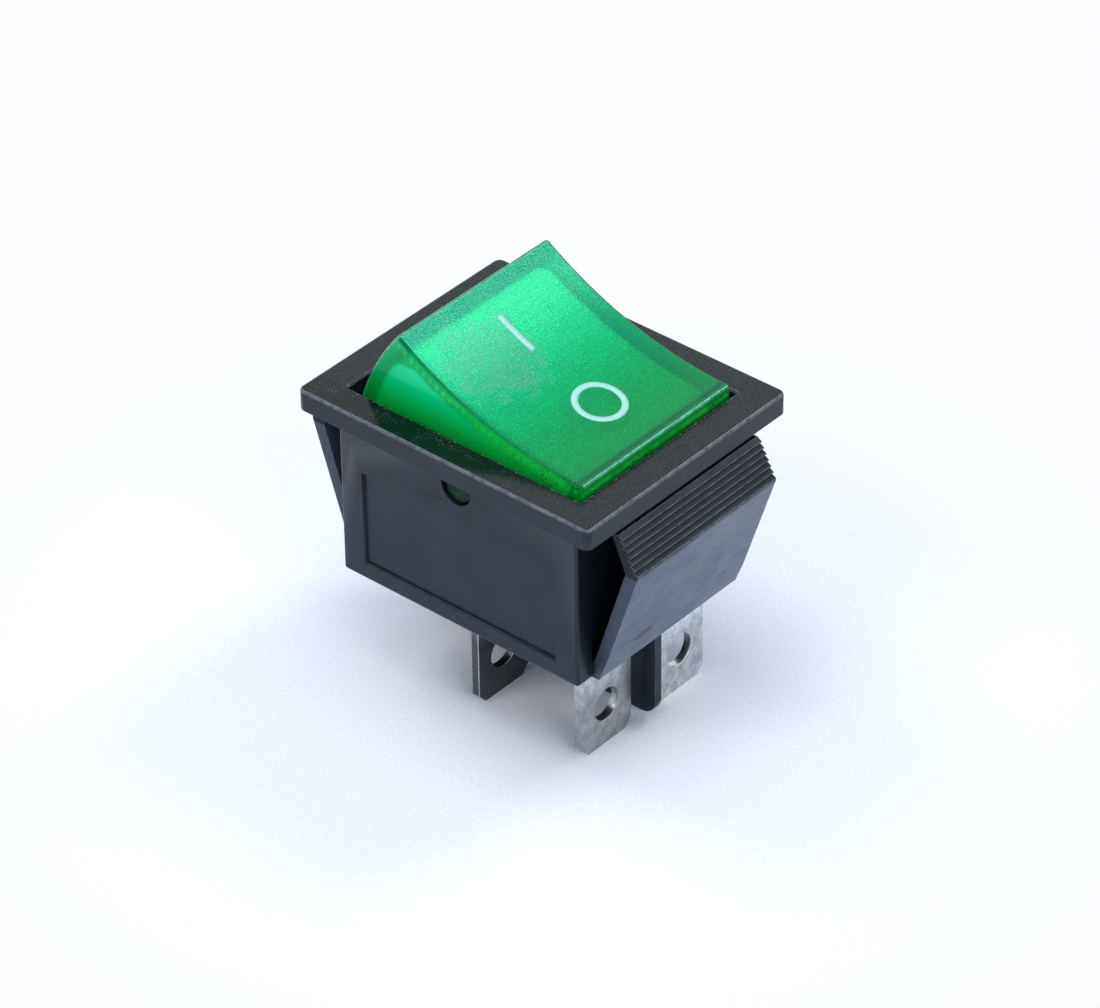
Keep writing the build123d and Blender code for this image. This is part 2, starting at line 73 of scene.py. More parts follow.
# The rocker, in its own level frame about the pivot.
PIVOT = Vector((0.0, 0.0, -2.0))
TILT = 17.4
SADDLE_HEIGHT = 6.85
SADDLE_RISE = 1.5
TIP_HALF = 10.147
SADDLE_RADIUS = (TIP_HALF ** 2 + SADDLE_RISE ** 2) / (2 * SADDLE_RISE)
SADDLE_CENTRE = (0.0, SADDLE_HEIGHT + SADDLE_RADIUS)
BELLY = (11.25, 4.8)
FOOT = (11.85, -1.2)
SIDE = 9.3
EDGE_ROUND = 0.25
TOP_SKIN = 1.2
END_SKIN = 1.4
SIDE_SKIN = 1.3
INNER_ROUND = 2.0
INNER_EDGE = 0.5
LEAST_ROUND = 0.01
LUG_RADIUS = 2.6
PIN_RADIUS = 1.5
PIN_END = 10.4
PIN_CHAMFER = 0.15
PIN_ROOT = 0.5
LUG_SUNK = 0.01

# The fine ridges on the inner side of the rocker's top.
RIDGE_PITCH = 0.75
RIDGE_DEPTH = 0.16

# How many faces the rocker's ends, corners, top, long edges and pins are drawn with.
END_STEPS = 12
CORNER_STEPS = 8
TOP_STEPS = 80
EDGE_STEPS = 4
PIN_STEPS = 48

# The marks on the rocker, seen level from above.
BAR_CENTRE = -5.0
BAR_LENGTH = 4.0
BAR_WIDTH = 0.58
BAR_STEPS = 16
RING_CENTRE = 4.25
RING_OUTER = 2.35
RING_INNER = 1.77
RING_STEPS = 96
MARK_PROUD = 0.025
MARK_FILM = 0.04

# The case as its wear and its painted light and shade follow it: half lengths along X, half widths along Y
# and heights.
BODY_HALF = 12.75
BEZEL_HALF = 15.5
BEZEL_SIDE = 12.55
BEZEL_TOP = 2.0
MOUTH_HALF = 12.45
MOUTH_SIDE = 9.8
LEG_TOP = -0.45
LEG_KNEE = -3.9
TEETH_FROM = 14.0

# The area round the rating window, whose edges get painted shade: its half length and its foot.
WINDOW_SHADE_HALF = 10.7
WINDOW_SHADE_FOOT = -15.2

# The polished strip on the -Y side of the bezel fades out between these places along X.
POLISHED_TO = (2.0, 9.0)

# A dark rub low on the snap leg at the O end: its middle and half sizes, along Y and Z.
SCUFF = (-4.5, -13.2)
SCUFF_HALF = (1.5, 0.45)

# The painted reflection on the rocker's top: its middle and half sizes, along X and Y.
SHEEN_PATCH = (-4.5, -3.6)
SHEEN_PATCH_HALF = (4.8, 5.2)

# A painted dark line of shade near the O end of the rocker's top.
END_SHADE_LINE = 9.55

# The near-black colour painted as shade on the nylon, in grooves and corners.
NYLON_SHADE = (0.002, 0.004, 0.008)

# The blades are painted darker towards their lower ends as shade: fully up to the first height, not at all
# from the second.
BLADE_SHADE_LOW = (-21.5, -18.5)

# The strip along either axis over which the painted shade changes from one blade to the next.
BETWEEN = (-1.0, 1.0)

# The resistor's colour rings: middles along Y and colours.
RINGS = (
    (3.3, (0.25, 0.02, 0.02)),
    (3.9, (0.02, 0.02, 0.02)),
    (4.5, (0.30, 0.18, 0.02)),
)

# Copies of CAD surfaces: points closer than this are one, facets flatter than this
# many degrees are joined, edges sharper than this many degrees are rounded, and the
# rounding is this wide on the case and on the blades.
WELD = 0.0005
FLAT = 0.4
SHARP = 28
CASE_EDGE = 0.04
BLADE_EDGE = 0.06

# The camera, fitted to the bezel's and the body's corners in the photograph.
PHOTO_WIDTH = 1100
FOCAL_PIXELS = 5407.96
SENSOR = 36.0
AZIMUTH = 40.95
ELEVATION = 36.13
ROLL = -0.74
AIM_RIGHT = 0.66
AIM_UP = -7.68
DISTANCE = 440.4

# The table, and the distances from its middle between which it fades to white.
TABLE_SIZE = 3000
FADE_FROM = 27
FADE_TO = 56

# The soft boxes: name, azimuth, elevation, distance and size in metres, and watts.
# Azimuth 0 is on the -Y side and 90 on the +X side.
LIGHTS = (
    ("back_left", 278, 52, 0.5, (0.20, 0.20), 0.66),
    ("back_right", 160, 50, 0.5, (0.14, 0.14), 0.66),
    ("overhead", 20, 84, 0.55, (0.34, 0.34), 1.00),
    ("front_left", 350, 40, 0.8, (0.4, 0.3), 1.8),
    ("front_right", 66, 32, 0.8, (0.35, 0.3), 1.7),
)

# The point that the soft boxes face, and their colour.
LIT_POINT = Vector((0.0, 0.0, -5.0))
WARM = (1.0, 0.98, 0.95)


# The rocker's outline, which its materials follow too

def circle_through(a, b, c):
    """Centre and radius of the circle through three points."""
    ax, ay = a
    bx, by = b
    cx, cy = c
    aa, bb, cc = ax * ax + ay * ay, bx * bx + by * by, cx * cx + cy * cy
    d = 2 * (ax * (by - cy) + bx * (cy - ay) + cx * (ay - by))
    ux = (aa * (by - cy) + bb * (cy - ay) + cc * (ay - by)) / d
    uy = (aa * (cx - bx) + bb * (ax - cx) + cc * (bx - ax)) / d
    return (ux, uy), hypot(ax - ux, ay - uy)


def saddle_z(x, skin=0.0):
    """Height of the rocker's top, or of a skin's inner side, at a place along it."""
    return SADDLE_CENTRE[1] - sqrt((SADDLE_RADIUS + skin) ** 2 - x ** 2)


# Shader graphs

class Graph:
    """A material's node tree, with short ways to add and join nodes."""

    def __init__(self, name):
        self.material = bpy.data.materials.new(name)
        self.material.use_nodes = True
        self.nodes = self.material.node_tree.nodes
        self.links = self.material.node_tree.links
        self.shader = self.nodes["Principled BSDF"]
        coordinates = self.nodes.new("ShaderNodeTexCoord")
        self.place = coordinates.outputs["Object"]

    def put(self, socket, value):
        """Gives a socket a plain value, or the output of another node."""
        if isinstance(value, bpy.types.NodeSocket):
            self.links.new(value, socket)
        elif isinstance(value, (tuple, list)) and len(value) == 3 and socket.type == "RGBA":
            socket.default_value = (*value, 1.0)
        else:
            socket.default_value = value

    def set(self, **values):
        """Sets the surface shader's sockets, such as base_color or specular_ior_level."""
        for name, value in values.items():
            self.put(self.shader.inputs[name.replace("_", " ").title().replace("Ior", "IOR")], value)

    def math(self, operation, a, b=0.0, clamp=False):
        node = self.nodes.new("ShaderNodeMath")
        node.operation = operation
        node.use_clamp = clamp
        self.put(node.inputs[0], a)
        self.put(node.inputs[1], b)
        return node.outputs[0]

    def absolute(self, value):
        return self.math("ABSOLUTE", value)

    def product(self, first, *others):
        for other in others:
            first = self.math("MULTIPLY", first, other)
        return first

    def inverse(self, value):
        return self.math("SUBTRACT", 1.0, value)

    def length(self, a, b):
        """The length of a line that reaches a across and b up."""
        return self.math("SQRT", self.math("ADD", self.product(a, a), self.product(b, b)))

    def offset(self, value, place_mm):
        """How far a value in metres is past a place in millimetres."""
        return self.math("SUBTRACT", value, place_mm * MM)

    def axis(self, name, source=None):
        """One axis of a vector, or else of the place in the object's own frame."""
        node = self.nodes.new("ShaderNodeSeparateXYZ")
        self.put(node.inputs[0], source or self.place)
        return node.outputs[name]

    def on_rocker(self, name):
        """A place along one of the rocker's own level axes."""
        turned = self.nodes.new("ShaderNodeMapping")
        back = Matrix.Rotation(radians(-TILT), 4, "Y")
        self.put(turned.inputs["Vector"], self.place)
        turned.inputs["Rotation"].default_value = (0.0, radians(-TILT), 0.0)
        turned.inputs["Location"].default_value = -MM * (back @ PIVOT)
        return self.axis(name, turned.outputs[0])

    def normal(self, name):
        geometry = self.nodes.new("ShaderNodeTexCoord")
        return self.axis(name, geometry.outputs["Normal"])

    def noise(self, size_mm, detail=2.0, roughness=0.5, stretch=None, seed=0.0):
        """Noise whose lumps are about size_mm across."""
        source = self.place
        if stretch or seed:
            mapping = self.nodes.new("ShaderNodeMapping")
            self.put(mapping.inputs["Vector"], source)
            mapping.inputs["Location"].default_value = (seed, seed * 0.7, seed * 1.3)
            mapping.inputs["Scale"].default_value = stretch or (1.0, 1.0, 1.0)
            source = mapping.outputs[0]
        node = self.nodes.new("ShaderNodeTexNoise")
        self.put(node.inputs["Vector"], source)
        node.inputs["Scale"].default_value = 1.0 / (size_mm * MM)
        node.inputs["Detail"].default_value = detail
        node.inputs["Roughness"].default_value = roughness
        return node.outputs["Fac"]

    def ramp(self, value, low, high, to_low=0.0, to_high=1.0):
        """Smoothly maps low..high to to_low..to_high."""
        node = self.nodes.new("ShaderNodeMapRange")
        node.interpolation_type = "SMOOTHSTEP"
        self.put(node.inputs["Value"], value)
        for name, number in (("From Min", low), ("From Max", high), ("To Min", to_low), ("To Max", to_high)):
            node.inputs[name].default_value = number
        return node.outputs["Result"]

    def rise(self, value, start_mm, end_mm, to_low=0.0, to_high=1.0):
        """0 up to one place and 1 from another on, or the values given instead."""
        return self.ramp(value, start_mm * MM, end_mm * MM, to_low, to_high)

    def fall(self, value, start_mm, end_mm):
        """1 up to one place and 0 from another on."""
        return self.rise(value, start_mm, end_mm, 1.0, 0.0)

    def line(self, value, middle_mm, inner_mm, outer_mm):
        """1 within inner_mm of a place, fading out at outer_mm from it."""
        return self.fall(self.absolute(self.offset(value, middle_mm)), inner_mm, outer_mm)

    def from_circle(self, across, up, centre, radius):
        """How far a point lies from a circle."""
        reach = self.length(self.offset(across, centre[0]), self.offset(up, centre[1]))
        return self.absolute(self.offset(reach, radius))

    def ellipse(self, across, up, centre, half):
        """0 in an ellipse's middle, 1 on it, and more outside."""
        a = self.math("DIVIDE", self.offset(across, centre[0]), half[0] * MM)
        b = self.math("DIVIDE", self.offset(up, centre[1]), half[1] * MM)
        return self.math("ADD", self.product(a, a), self.product(b, b))

    def mix(self, fac, a, b):
        """A colour between a and b."""
        node = self.nodes.new("ShaderNodeMix")
        node.data_type = "RGBA"
        self.put(node.inputs["Factor"], fac)
        colours = [socket for socket in node.inputs if socket.type == "RGBA"]
        self.put(colours[0], a)
        self.put(colours[1], b)
        return [socket for socket in node.outputs if socket.type == "RGBA"][0]

    def blend_normals(self, fac, a, b):
        node = self.nodes.new("ShaderNodeMix")
        node.data_type = "VECTOR"
        self.put(node.inputs["Factor"], fac)
        vectors = [socket for socket in node.inputs if socket.type == "VECTOR"]
        self.put(vectors[-2], a)
        self.put(vectors[-1], b)
        return [socket for socket in node.outputs if socket.type == "VECTOR"][0]

    def bump(self, height, depth_mm, strength=1.0):
        node = self.nodes.new("ShaderNodeBump")
        node.inputs["Strength"].default_value = strength
        node.inputs["Distance"].default_value = depth_mm * MM
        self.put(node.inputs["Height"], height)
        return node.outputs[0]


def direct_rays(tree):
    """1 for camera, glossy and transmitted rays, which see white surroundings, and 0 for all other light."""
    path = tree.nodes.new("ShaderNodeLightPath")
    seen = path.outputs["Is Camera Ray"]
    for kind in ("Is Transmission Ray", "Is Glossy Ray"):
        either = tree.nodes.new("ShaderNodeMath")
        either.operation = "MAXIMUM"
        tree.links.new(seen, either.inputs[0])
        tree.links.new(path.outputs[kind], either.inputs[1])
        seen = either.outputs[0]
    return seen


# The black nylon

def leg_wear_and_shade(g, colour, x, z, outward):
    """The snap legs' pale haze and scratches, the haze partly scuffing and partly painted sheen, the body's
    ends behind them darkened as painted shade, and one dark rub.
    """
    past_body = (BODY_HALF + 0.15, BODY_HALF + 0.35)
    # Partly painted sheen: the legs' pale haze, strongest on faces turned along X, stands partly for light
    # and partly for scuffing.
    legs = g.product(g.rise(x, *past_body), g.fall(z, LEG_KNEE - 0.4, LEG_KNEE))
    legs = g.product(legs, g.ramp(outward, 0.3, 0.7, 0.36, 1.0))
    # Painted shade on the body's end walls behind the legs.
    ends = g.product(g.ramp(outward, 0.5, 0.8), g.fall(x, *past_body), g.fall(z, -0.3, -0.2))
    colour = g.mix(g.product(ends, 0.7), colour, NYLON_SHADE)
    patchy_sheen = g.ramp(g.noise(0.9, 4.0, 0.65, stretch=(1.0, 0.35, 1.0), seed=0.21), 0.25, 0.75, 0.55, 1.0)
    colour = g.mix(g.product(legs, patchy_sheen), colour, (0.106, 0.132, 0.196))
    scratch = g.ramp(g.noise(0.35, 2.0, 0.5, stretch=(1.0, 0.22, 1.0), seed=0.63), 0.70, 0.72)
    colour = g.mix(g.product(scratch, legs, 0.8), colour, (0.010, 0.014, 0.022))
    apart = g.ellipse(g.axis("Y"), g.axis("Z"), SCUFF, SCUFF_HALF)
    apart = g.math("ADD", apart, g.ramp(g.noise(0.4, 3.0, 0.6), 0.3, 0.7, -0.35, 0.35))
    scuffed = g.product(g.ramp(apart, 0.55, 1.05, 1.0, 0.0), g.rise(g.axis("X"), *past_body))
    return g.mix(g.product(scuffed, 0.90), colour, (0.010, 0.013, 0.020))


def bezel_grain(g, grain, contrast, polished):
    """The bezel's top: dark pits between paler grains, stray specks, and crumbs on the polished strip."""
    raised = g.product(g.ramp(grain, 0.40, 0.66), contrast)
    colour = g.mix(raised, (0.0008, 0.0032, 0.0036), (0.0190, 0.0240, 0.0255))
    speck = g.ramp(g.noise(0.11, 1.0, 0.5, seed=0.31), 0.64, 0.70)
    colour = g.mix(g.product(speck, 0.45, contrast), colour, (0.10, 0.13, 0.125))
    crumbs = g.product(g.ramp(g.noise(0.12, 1.0, 0.5, seed=0.66), 0.62, 0.67), polished)
    crumbs = g.product(crumbs, g.ramp(g.noise(2.5, 2.0, 0.6, seed=0.24), 0.50, 0.58))
    return g.mix(g.product(crumbs, 0.6), colour, (0.13, 0.17, 0.15))


def bezel_edges(g, colour, x, y, z):
    """The bezel's pale outer edge, partly wear and partly a painted highlight, and the chips round its
    mouth.
    """
    turned = g.rise(z, BEZEL_TOP - 0.30, BEZEL_TOP - 0.22)
    turned = g.product(turned, g.ramp(g.normal("Z"), 0.80, 0.96, 1.0, 0.0))
    end_rim = g.rise(x, BEZEL_HALF - 0.30, BEZEL_HALF - 0.22)
    side_rim = g.rise(y, BEZEL_SIDE - 0.30, BEZEL_SIDE - 0.22)
    wear_and_highlight = g.ramp(g.noise(0.7, 3.0, 0.6, seed=0.8), 0.3, 0.6, 0.3, 1.0)
    # The pale rim is partly wear and partly a painted highlight along the rounded edge.
    rim = g.product(turned, g.math("MAXIMUM", end_rim, side_rim), wear_and_highlight)
    colour = g.mix(rim, colour, (0.120, 0.132, 0.145))
    end_lip = g.line(x, MOUTH_HALF + 0.10, 0.10, 0.22)
    end_lip = g.product(end_lip, g.fall(y, MOUTH_SIDE + 0.15, MOUTH_SIDE + 0.25))
    side_lip = g.line(y, MOUTH_SIDE + 0.10, 0.10, 0.22)
    side_lip = g.product(side_lip, g.fall(x, MOUTH_HALF + 0.15, MOUTH_HALF + 0.25))
    lip = g.product(g.math("MAXIMUM", end_lip, side_lip), g.rise(z, BEZEL_TOP - 0.20, BEZEL_TOP - 0.12))
    chips = g.ramp(g.noise(0.22, 2.0, 0.5, seed=0.9), 0.60, 0.66)
    return g.mix(g.product(lip, chips, 0.8), colour, (0.32, 0.36, 0.34))


def tooth_shade_and_highlights(g, colour, teeth, outward):
    """The legs' toothed strip darkened as painted shade, and its crests, the faces turned outward, paled as
    painted highlights.
    """
    # Painted shade over the toothed strip.
    colour = g.mix(g.product(teeth, 0.9), colour, NYLON_SHADE)
    # Painted highlights on the crests that face outward.
    crest_highlight = g.product(teeth, g.ramp(outward, 0.90, 0.98))
    crest_highlight = g.product(crest_highlight, g.ramp(g.noise(0.4, 3.0, 0.6, seed=0.7), 0.35, 0.65, 0.2, 1.0))
    return g.mix(crest_highlight, colour, (0.095, 0.107, 0.120))


def black_nylon():
    """Moulded nylon: spark-eroded grain on the bezel's top, smoother and scuffed elsewhere, with painted
    shade and highlights on the legs, their teeth and the body's ends.
    """
    g = Graph("black_nylon")
    x, y, z = g.absolute(g.axis("X")), g.absolute(g.axis("Y")), g.axis("Z")
    outward = g.absolute(g.normal("X"))
    top = g.product(g.rise(z, BEZEL_TOP - 0.40, BEZEL_TOP - 0.25), g.ramp(g.normal("Z"), 0.80, 0.97))
    polished = g.product(top, g.fall(g.axis("Y"), -MOUTH_SIDE - 0.20, -MOUTH_SIDE - 0.10))
    polished = g.product(polished, g.fall(g.axis("X"), *POLISHED_TO))
    contrast = g.inverse(g.product(polished, 0.80))
    teeth = g.product(g.rise(x, TEETH_FROM, TEETH_FROM + 0.2), g.fall(z, LEG_TOP + 0.03, LEG_TOP + 0.10))
    teeth = g.product(teeth, g.rise(z, LEG_KNEE - 0.2, LEG_KNEE - 0.1))
    grain = g.noise(0.13, 3.0, 0.7)
    cloud = g.noise(3.5, 2.0, 0.5)

    colour = g.mix(g.ramp(cloud, 0.35, 0.7), (0.0080, 0.0130, 0.0220), (0.0120, 0.0190, 0.0310))
    colour = leg_wear_and_shade(g, colour, x, z, outward)
    colour = g.mix(top, colour, bezel_grain(g, grain, contrast, polished))
    colour = bezel_edges(g, colour, x, y, z)
    dust = g.ramp(g.noise(0.30, 1.0, 0.5, seed=0.77), 0.755, 0.79)
    colour = g.mix(g.product(dust, 0.30), colour, (0.20, 0.21, 0.22))
    colour = tooth_shade_and_highlights(g, colour, teeth, outward)

    rough = g.math("SUBTRACT", g.ramp(cloud, 0.3, 0.7, 0.28, 0.38), g.product(top, 0.15))
    rough = g.math("ADD", rough, g.product(teeth, 0.20))
    scuff = g.ramp(g.noise(0.5, 4.0, 0.6, stretch=(1.0, 0.25, 1.0), seed=0.12), 0.58, 0.72)
    scuff = g.product(scuff, g.inverse(polished))
    rough = g.math("ADD", rough, g.product(scuff, 0.10), clamp=True)
    fine = g.bump(g.product(grain, contrast), 0.008, 0.8)
    skin = g.bump(g.noise(0.25, 3.0, 0.6, seed=0.5), 0.0040, 1.0)
    g.set(
        base_color=colour,
        roughness=rough,
        normal=g.blend_normals(top, skin, fine),
        specular_ior_level=0.32,
        specular_tint=(0.72, 0.87, 1.0),
    )
    return g.material


def edge_wear_and_shade():
    """The nylon's outer edges, pale from wear and chipped here and there, with painted shade along the
    bezel's lower edge and round the rating window.
    """
    g = Graph("black_nylon_edge")
    rub = g.noise(0.6, 4.0, 0.65, seed=0.45)
    fine = g.noise(0.15, 2.0, 0.6, seed=0.25)
    colour = g.mix(g.ramp(rub, 0.35, 0.62), (0.012, 0.016, 0.022), (0.105, 0.118, 0.132))
    colour = g.mix(g.product(g.ramp(fine, 0.5, 0.65), 0.45), colour, (0.010, 0.013, 0.018))
    x, y, z = g.absolute(g.axis("X")), g.axis("Y"), g.axis("Z")
    # Painted shade: a dark line along the bezel's lower edge and round the rating window, lighter where the
    # edge is pale from wear.
    shade_under_bezel = g.product(g.rise(z, -0.2, -0.1), g.fall(z, 0.3, 0.4))
    window = g.product(g.fall(x, WINDOW_SHADE_HALF, WINDOW_SHADE_HALF + 0.1), g.rise(z, WINDOW_SHADE_FOOT, WINDOW_SHADE_FOOT + 0.1))
    window = g.product(window, g.fall(y, -10.0, -9.9), g.fall(z, 0.0, 0.1))
    shaded = g.product(g.math("MAXIMUM", shade_under_bezel, window), g.ramp(rub, 0.62, 0.66, 1.0, 0.4))
    colour = g.mix(shaded, colour, (0.003, 0.005, 0.008))
    g.set(
        base_color=colour,
        roughness=g.ramp(rub, 0.3, 0.7, 0.38, 0.55),
        normal=g.bump(fine, 0.010, 0.8),
        specular_ior_level=0.4,
    )
    return g.material


# The green rocker and its marks

def lens_top():
    """The rocker's frosted top: clear green with a fine etched grain, painted lighter towards the -X end and
    darker towards the +X end, with a painted reflection and a painted dark line.
    """
    g = Graph("green_lens_top")
    grain = g.noise(0.12, 2.0, 0.6)
    x, y = g.on_rocker("X"), g.on_rocker("Y")
    # Painted light and shade: a lit and a shaded copy of the green, lighter towards the -X end.
    lit = g.mix(g.ramp(grain, 0.35, 0.70), (0.0, 0.84, 0.40), (0.0, 0.97, 0.55))
    shaded_top = g.mix(g.ramp(grain, 0.35, 0.70), (0.0, 0.62, 0.18), (0.0, 0.70, 0.23))
    colour = g.mix(g.rise(x, -3.0, 8.0), lit, shaded_top)
    # Painted reflection: a pale grey-green patch of grain, less clear, where a lamp glints on the top.
    apart = g.ellipse(x, y, SHEEN_PATCH, SHEEN_PATCH_HALF)
    apart = g.math("ADD", apart, g.ramp(g.noise(1.6, 4.0, 0.7, seed=0.2), 0.3, 0.7, -0.45, 0.45))
    patchy_sheen = g.product(g.ramp(apart, 0.30, 1.20, 1.0, 0.0), g.ramp(grain, 0.42, 0.54))
    colour = g.mix(g.product(patchy_sheen, 0.80), colour, (0.15, 0.39, 0.27))
    # Painted shade: a dark line near the +X end of the top.
    line = g.fall(g.absolute(g.offset(x, END_SHADE_LINE)), 0.12, 0.30)
    colour = g.mix(g.product(line, 0.75), colour, (0.0, 0.20, 0.09))
    g.set(
        base_color=colour,
        roughness=g.ramp(grain, 0.3, 0.7, 0.18, 0.28),
        transmission_weight=g.math("SUBTRACT", 0.78, g.product(patchy_sheen, 0.40)),
        normal=g.bump(g.product(grain, g.rise(x, -4.0, 2.0, 1.0, 0.36)), 0.017, 0.8),
        ior=1.50,
        specular_tint=(0.06, 0.72, 0.56),
    )
    return g.material


def lens_side():
    """The rocker's smooth sides and ends: clear green, deeper where it is thick, with the matt inside
    painted on them, darker towards the bottom and at the low ends as painted shade, and specks of dirt.
    """
    g = Graph("green_lens_side")
    x, z = g.on_rocker("X"), g.on_rocker("Z")
    depth = g.from_circle(x, z, SADDLE_CENTRE, SADDLE_RADIUS)
    end = circle_through((TIP_HALF, saddle_z(TIP_HALF)), BELLY, FOOT)
    from_end = g.from_circle(g.absolute(x), z, *end)

    under = g.math("MAXIMUM", g.math("SUBTRACT", (INNER_ROUND + TOP_SKIN) * MM, depth), 0.0)
    inside = g.math("MAXIMUM", g.math("SUBTRACT", (INNER_ROUND + END_SKIN) * MM, from_end), 0.0)
    uneven = g.ramp(g.noise(1.4, 2.0, 0.5, seed=0.1), 0.3, 0.7, -0.10 * MM, 0.10 * MM)
    wall = g.math("ADD", g.length(under, inside), uneven)
    wall = g.rise(wall, INNER_ROUND - 0.25, INNER_ROUND + 0.15)
    # Painted shade: the matt inside and the thick ends are painted darker lower down.
    height = g.rise(g.axis("Z"), 1.8, 6.8)
    milky = g.mix(height, (0.0, 0.72, 0.09), (0.0, 1.0, 0.52))
    clear = g.mix(g.rise(x, -9.0, 6.0), (0.0, 0.50, 0.16), (0.01, 0.74, 0.075))
    shaded_low_end = g.product(g.fall(from_end, 1.2, 2.0), g.ramp(height, 0.0, 0.8, 1.0, 0.0))
    clear = g.mix(shaded_low_end, clear, (0.0, 0.40, 0.03))
    colour = g.mix(wall, milky, clear)

    rib = g.ramp(g.math("COSINE", g.product(x, 2 * pi / (RIDGE_PITCH * MM))), -0.6, 0.9)
    rib = g.product(rib, g.ramp(g.noise(0.9, 3.0, 0.6, seed=0.35), 0.35, 0.65, 0.12, 0.75))
    row = g.line(depth, 0.70, 0.10, 0.36)
    colour = g.mix(g.product(rib, row, 0.8), colour, (0.06, 0.96, 0.24))
    rim = g.fall(depth, 0.12, 0.24)
    colour = g.mix(g.product(rim, 0.8), colour, (0.0, 0.16, 0.06))
    dirt = g.product(g.ramp(g.noise(0.24, 1.0, 0.5, seed=0.4), 0.60, 0.64), g.rise(x, 1.0, 5.0))
    dirt = g.product(dirt, g.ramp(g.noise(1.8, 2.0, 0.5, seed=0.3), 0.42, 0.55))
    dirt = g.product(dirt, g.rise(depth, 1.4, 2.6, 1.0, 0.06))
    colour = g.mix(g.product(dirt, 0.85), colour, (0.0, 0.05, 0.01))
    g.set(
        base_color=colour,
        roughness=g.ramp(g.noise(1.2, 3.0, 0.6, seed=0.9), 0.3, 0.7, 0.06, 0.13),
        transmission_weight=g.math("SUBTRACT", 0.48, g.product(wall, 0.08)),
        normal=g.bump(g.noise(0.8, 2.0, 0.5), 0.003, 0.6),
        ior=1.30,
        specular_tint=(0.12, 0.80, 0.50),
    )
    return g.material


def lens_pin():
    """The pivot pins and their lugs, painted near-black green as the shade inside the pivot holes."""
    g = Graph("green_lens_pin")
    wear = g.noise(0.5, 3.0, 0.6)
    # Painted shade: near-black green.
    g.set(
        base_color=g.mix(g.ramp(wear, 0.35, 0.7), (0.0, 0.014, 0.005), (0.0, 0.045, 0.016)),
        roughness=g.ramp(wear, 0.3, 0.7, 0.30, 0.45),
        normal=g.bump(wear, 0.004, 0.6),
        specular_ior_level=0.12,
    )
    return g.material


def lens_edge():
    """The rounded edges, polished by handling so that they catch the light, and painted a paler mint as a
    highlight.
    """
    g = Graph("green_lens_edge")
    wear = g.noise(0.7, 3.0, 0.6, seed=0.15)
    # Partly painted highlight: a paler mint than the sides.
    g.set(
        base_color=g.mix(g.ramp(wear, 0.35, 0.65), (0.004, 0.34, 0.15), (0.05, 0.54, 0.31)),
        roughness=g.ramp(wear, 0.3, 0.7, 0.09, 0.15),
        transmission_weight=0.45,
        normal=g.bump(wear, 0.003, 0.5),
        ior=1.50,
        specular_tint=(0.70, 1.0, 0.90),
    )
    return g.material


def lens_frost():
    """The matt inside of the rocker, which spreads the lamp's light, painted darker towards the bottom as
    shade.
    """
    g = Graph("green_lens_inside")
    cloud = g.noise(1.5, 3.0, 0.6)
    high = g.mix(g.ramp(cloud, 0.3, 0.7), (0.0, 0.95, 0.50), (0.0, 0.98, 0.60))
    low = g.mix(g.ramp(cloud, 0.3, 0.7), (0.0, 0.36, 0.07), (0.0, 0.44, 0.10))
    # Painted shade: darker towards the bottom.
    g.set(
        base_color=g.mix(g.rise(g.axis("Z"), 1.5, 7.0), low, high),
        roughness=0.6,
        transmission_weight=0.15,
        normal=g.bump(g.noise(0.2, 2.0, 0.5), 0.01, 0.6),
        ior=1.50,
        specular_ior_level=0.2,
    )
    return g.material


def mark_white():
    """Hot-stamped white, thin enough for the grain and the green to show through."""
    g = Graph("mark_white")
    wear = g.noise(0.16, 2.0, 0.6)
    g.set(
        base_color=g.mix(g.ramp(wear, 0.35, 0.65), (0.28, 0.67, 0.56), (0.40, 0.74, 0.65)),
        roughness=0.55,
        normal=g.bump(wear, 0.01, 0.7),
    )
    return g.material


# The metals and the inner plastics

def blade_metal():
    """Dull tin plate over brass strip, mottled and rolled lengthwise, with stains low down. Painted shade
    darkens the common blades most, the near blade on the -Y side a little, and every blade towards its lower
    end.
    """
    g = Graph("blade_metal")
    mottle = g.noise(0.8, 4.0, 0.6)
    rolled = g.noise(0.16, 3.0, 0.6, stretch=(1.0, 1.0, 0.10), seed=0.3)
    pits = g.noise(0.14, 2.0, 0.6, seed=0.5)
    x, y = g.axis("X"), g.axis("Y")
    colour = g.mix(g.ramp(mottle, 0.35, 0.68), (0.60, 0.64, 0.65), (0.92, 0.96, 0.98))
    colour = g.mix(g.product(g.ramp(rolled, 0.55, 0.75), 0.25), colour, (0.30, 0.32, 0.335))
    colour = g.mix(g.ramp(pits, 0.52, 0.66, 0.0, 0.40), colour, (0.26, 0.28, 0.28))
    # Painted shade: the common blades at -X darkest, the near blade a little, and all blades towards their
    # lower ends.
    near_blade_shade = g.product(g.rise(x, *BETWEEN), g.rise(y, *BETWEEN, 0.30, 0.0))
    blade_shade = g.math("ADD", g.rise(x, *BETWEEN, 0.92, 0.0), near_blade_shade, clamp=True)
    low = g.fall(g.axis("Z"), *BLADE_SHADE_LOW)
    blade_shade = g.math("ADD", blade_shade, g.product(low, 0.28), clamp=True)
    colour = g.mix(blade_shade, colour, (0.085, 0.095, 0.105))
    stain = g.product(g.ramp(g.noise(0.9, 3.0, 0.6, seed=0.6), 0.58, 0.70), low)
    stain = g.product(stain, g.math("SUBTRACT", 0.85, g.product(blade_shade, 0.70)))
    colour = g.mix(stain, colour, (0.34, 0.29, 0.19))
    height = g.math("ADD", g.product(rolled, 0.5), g.product(pits, 0.5))
    g.set(
        base_color=colour,
        metallic=1.0,
        roughness=g.ramp(mottle, 0.3, 0.7, 0.36, 0.28),
        normal=g.bump(height, 0.007, 0.8),
    )
    return g.material


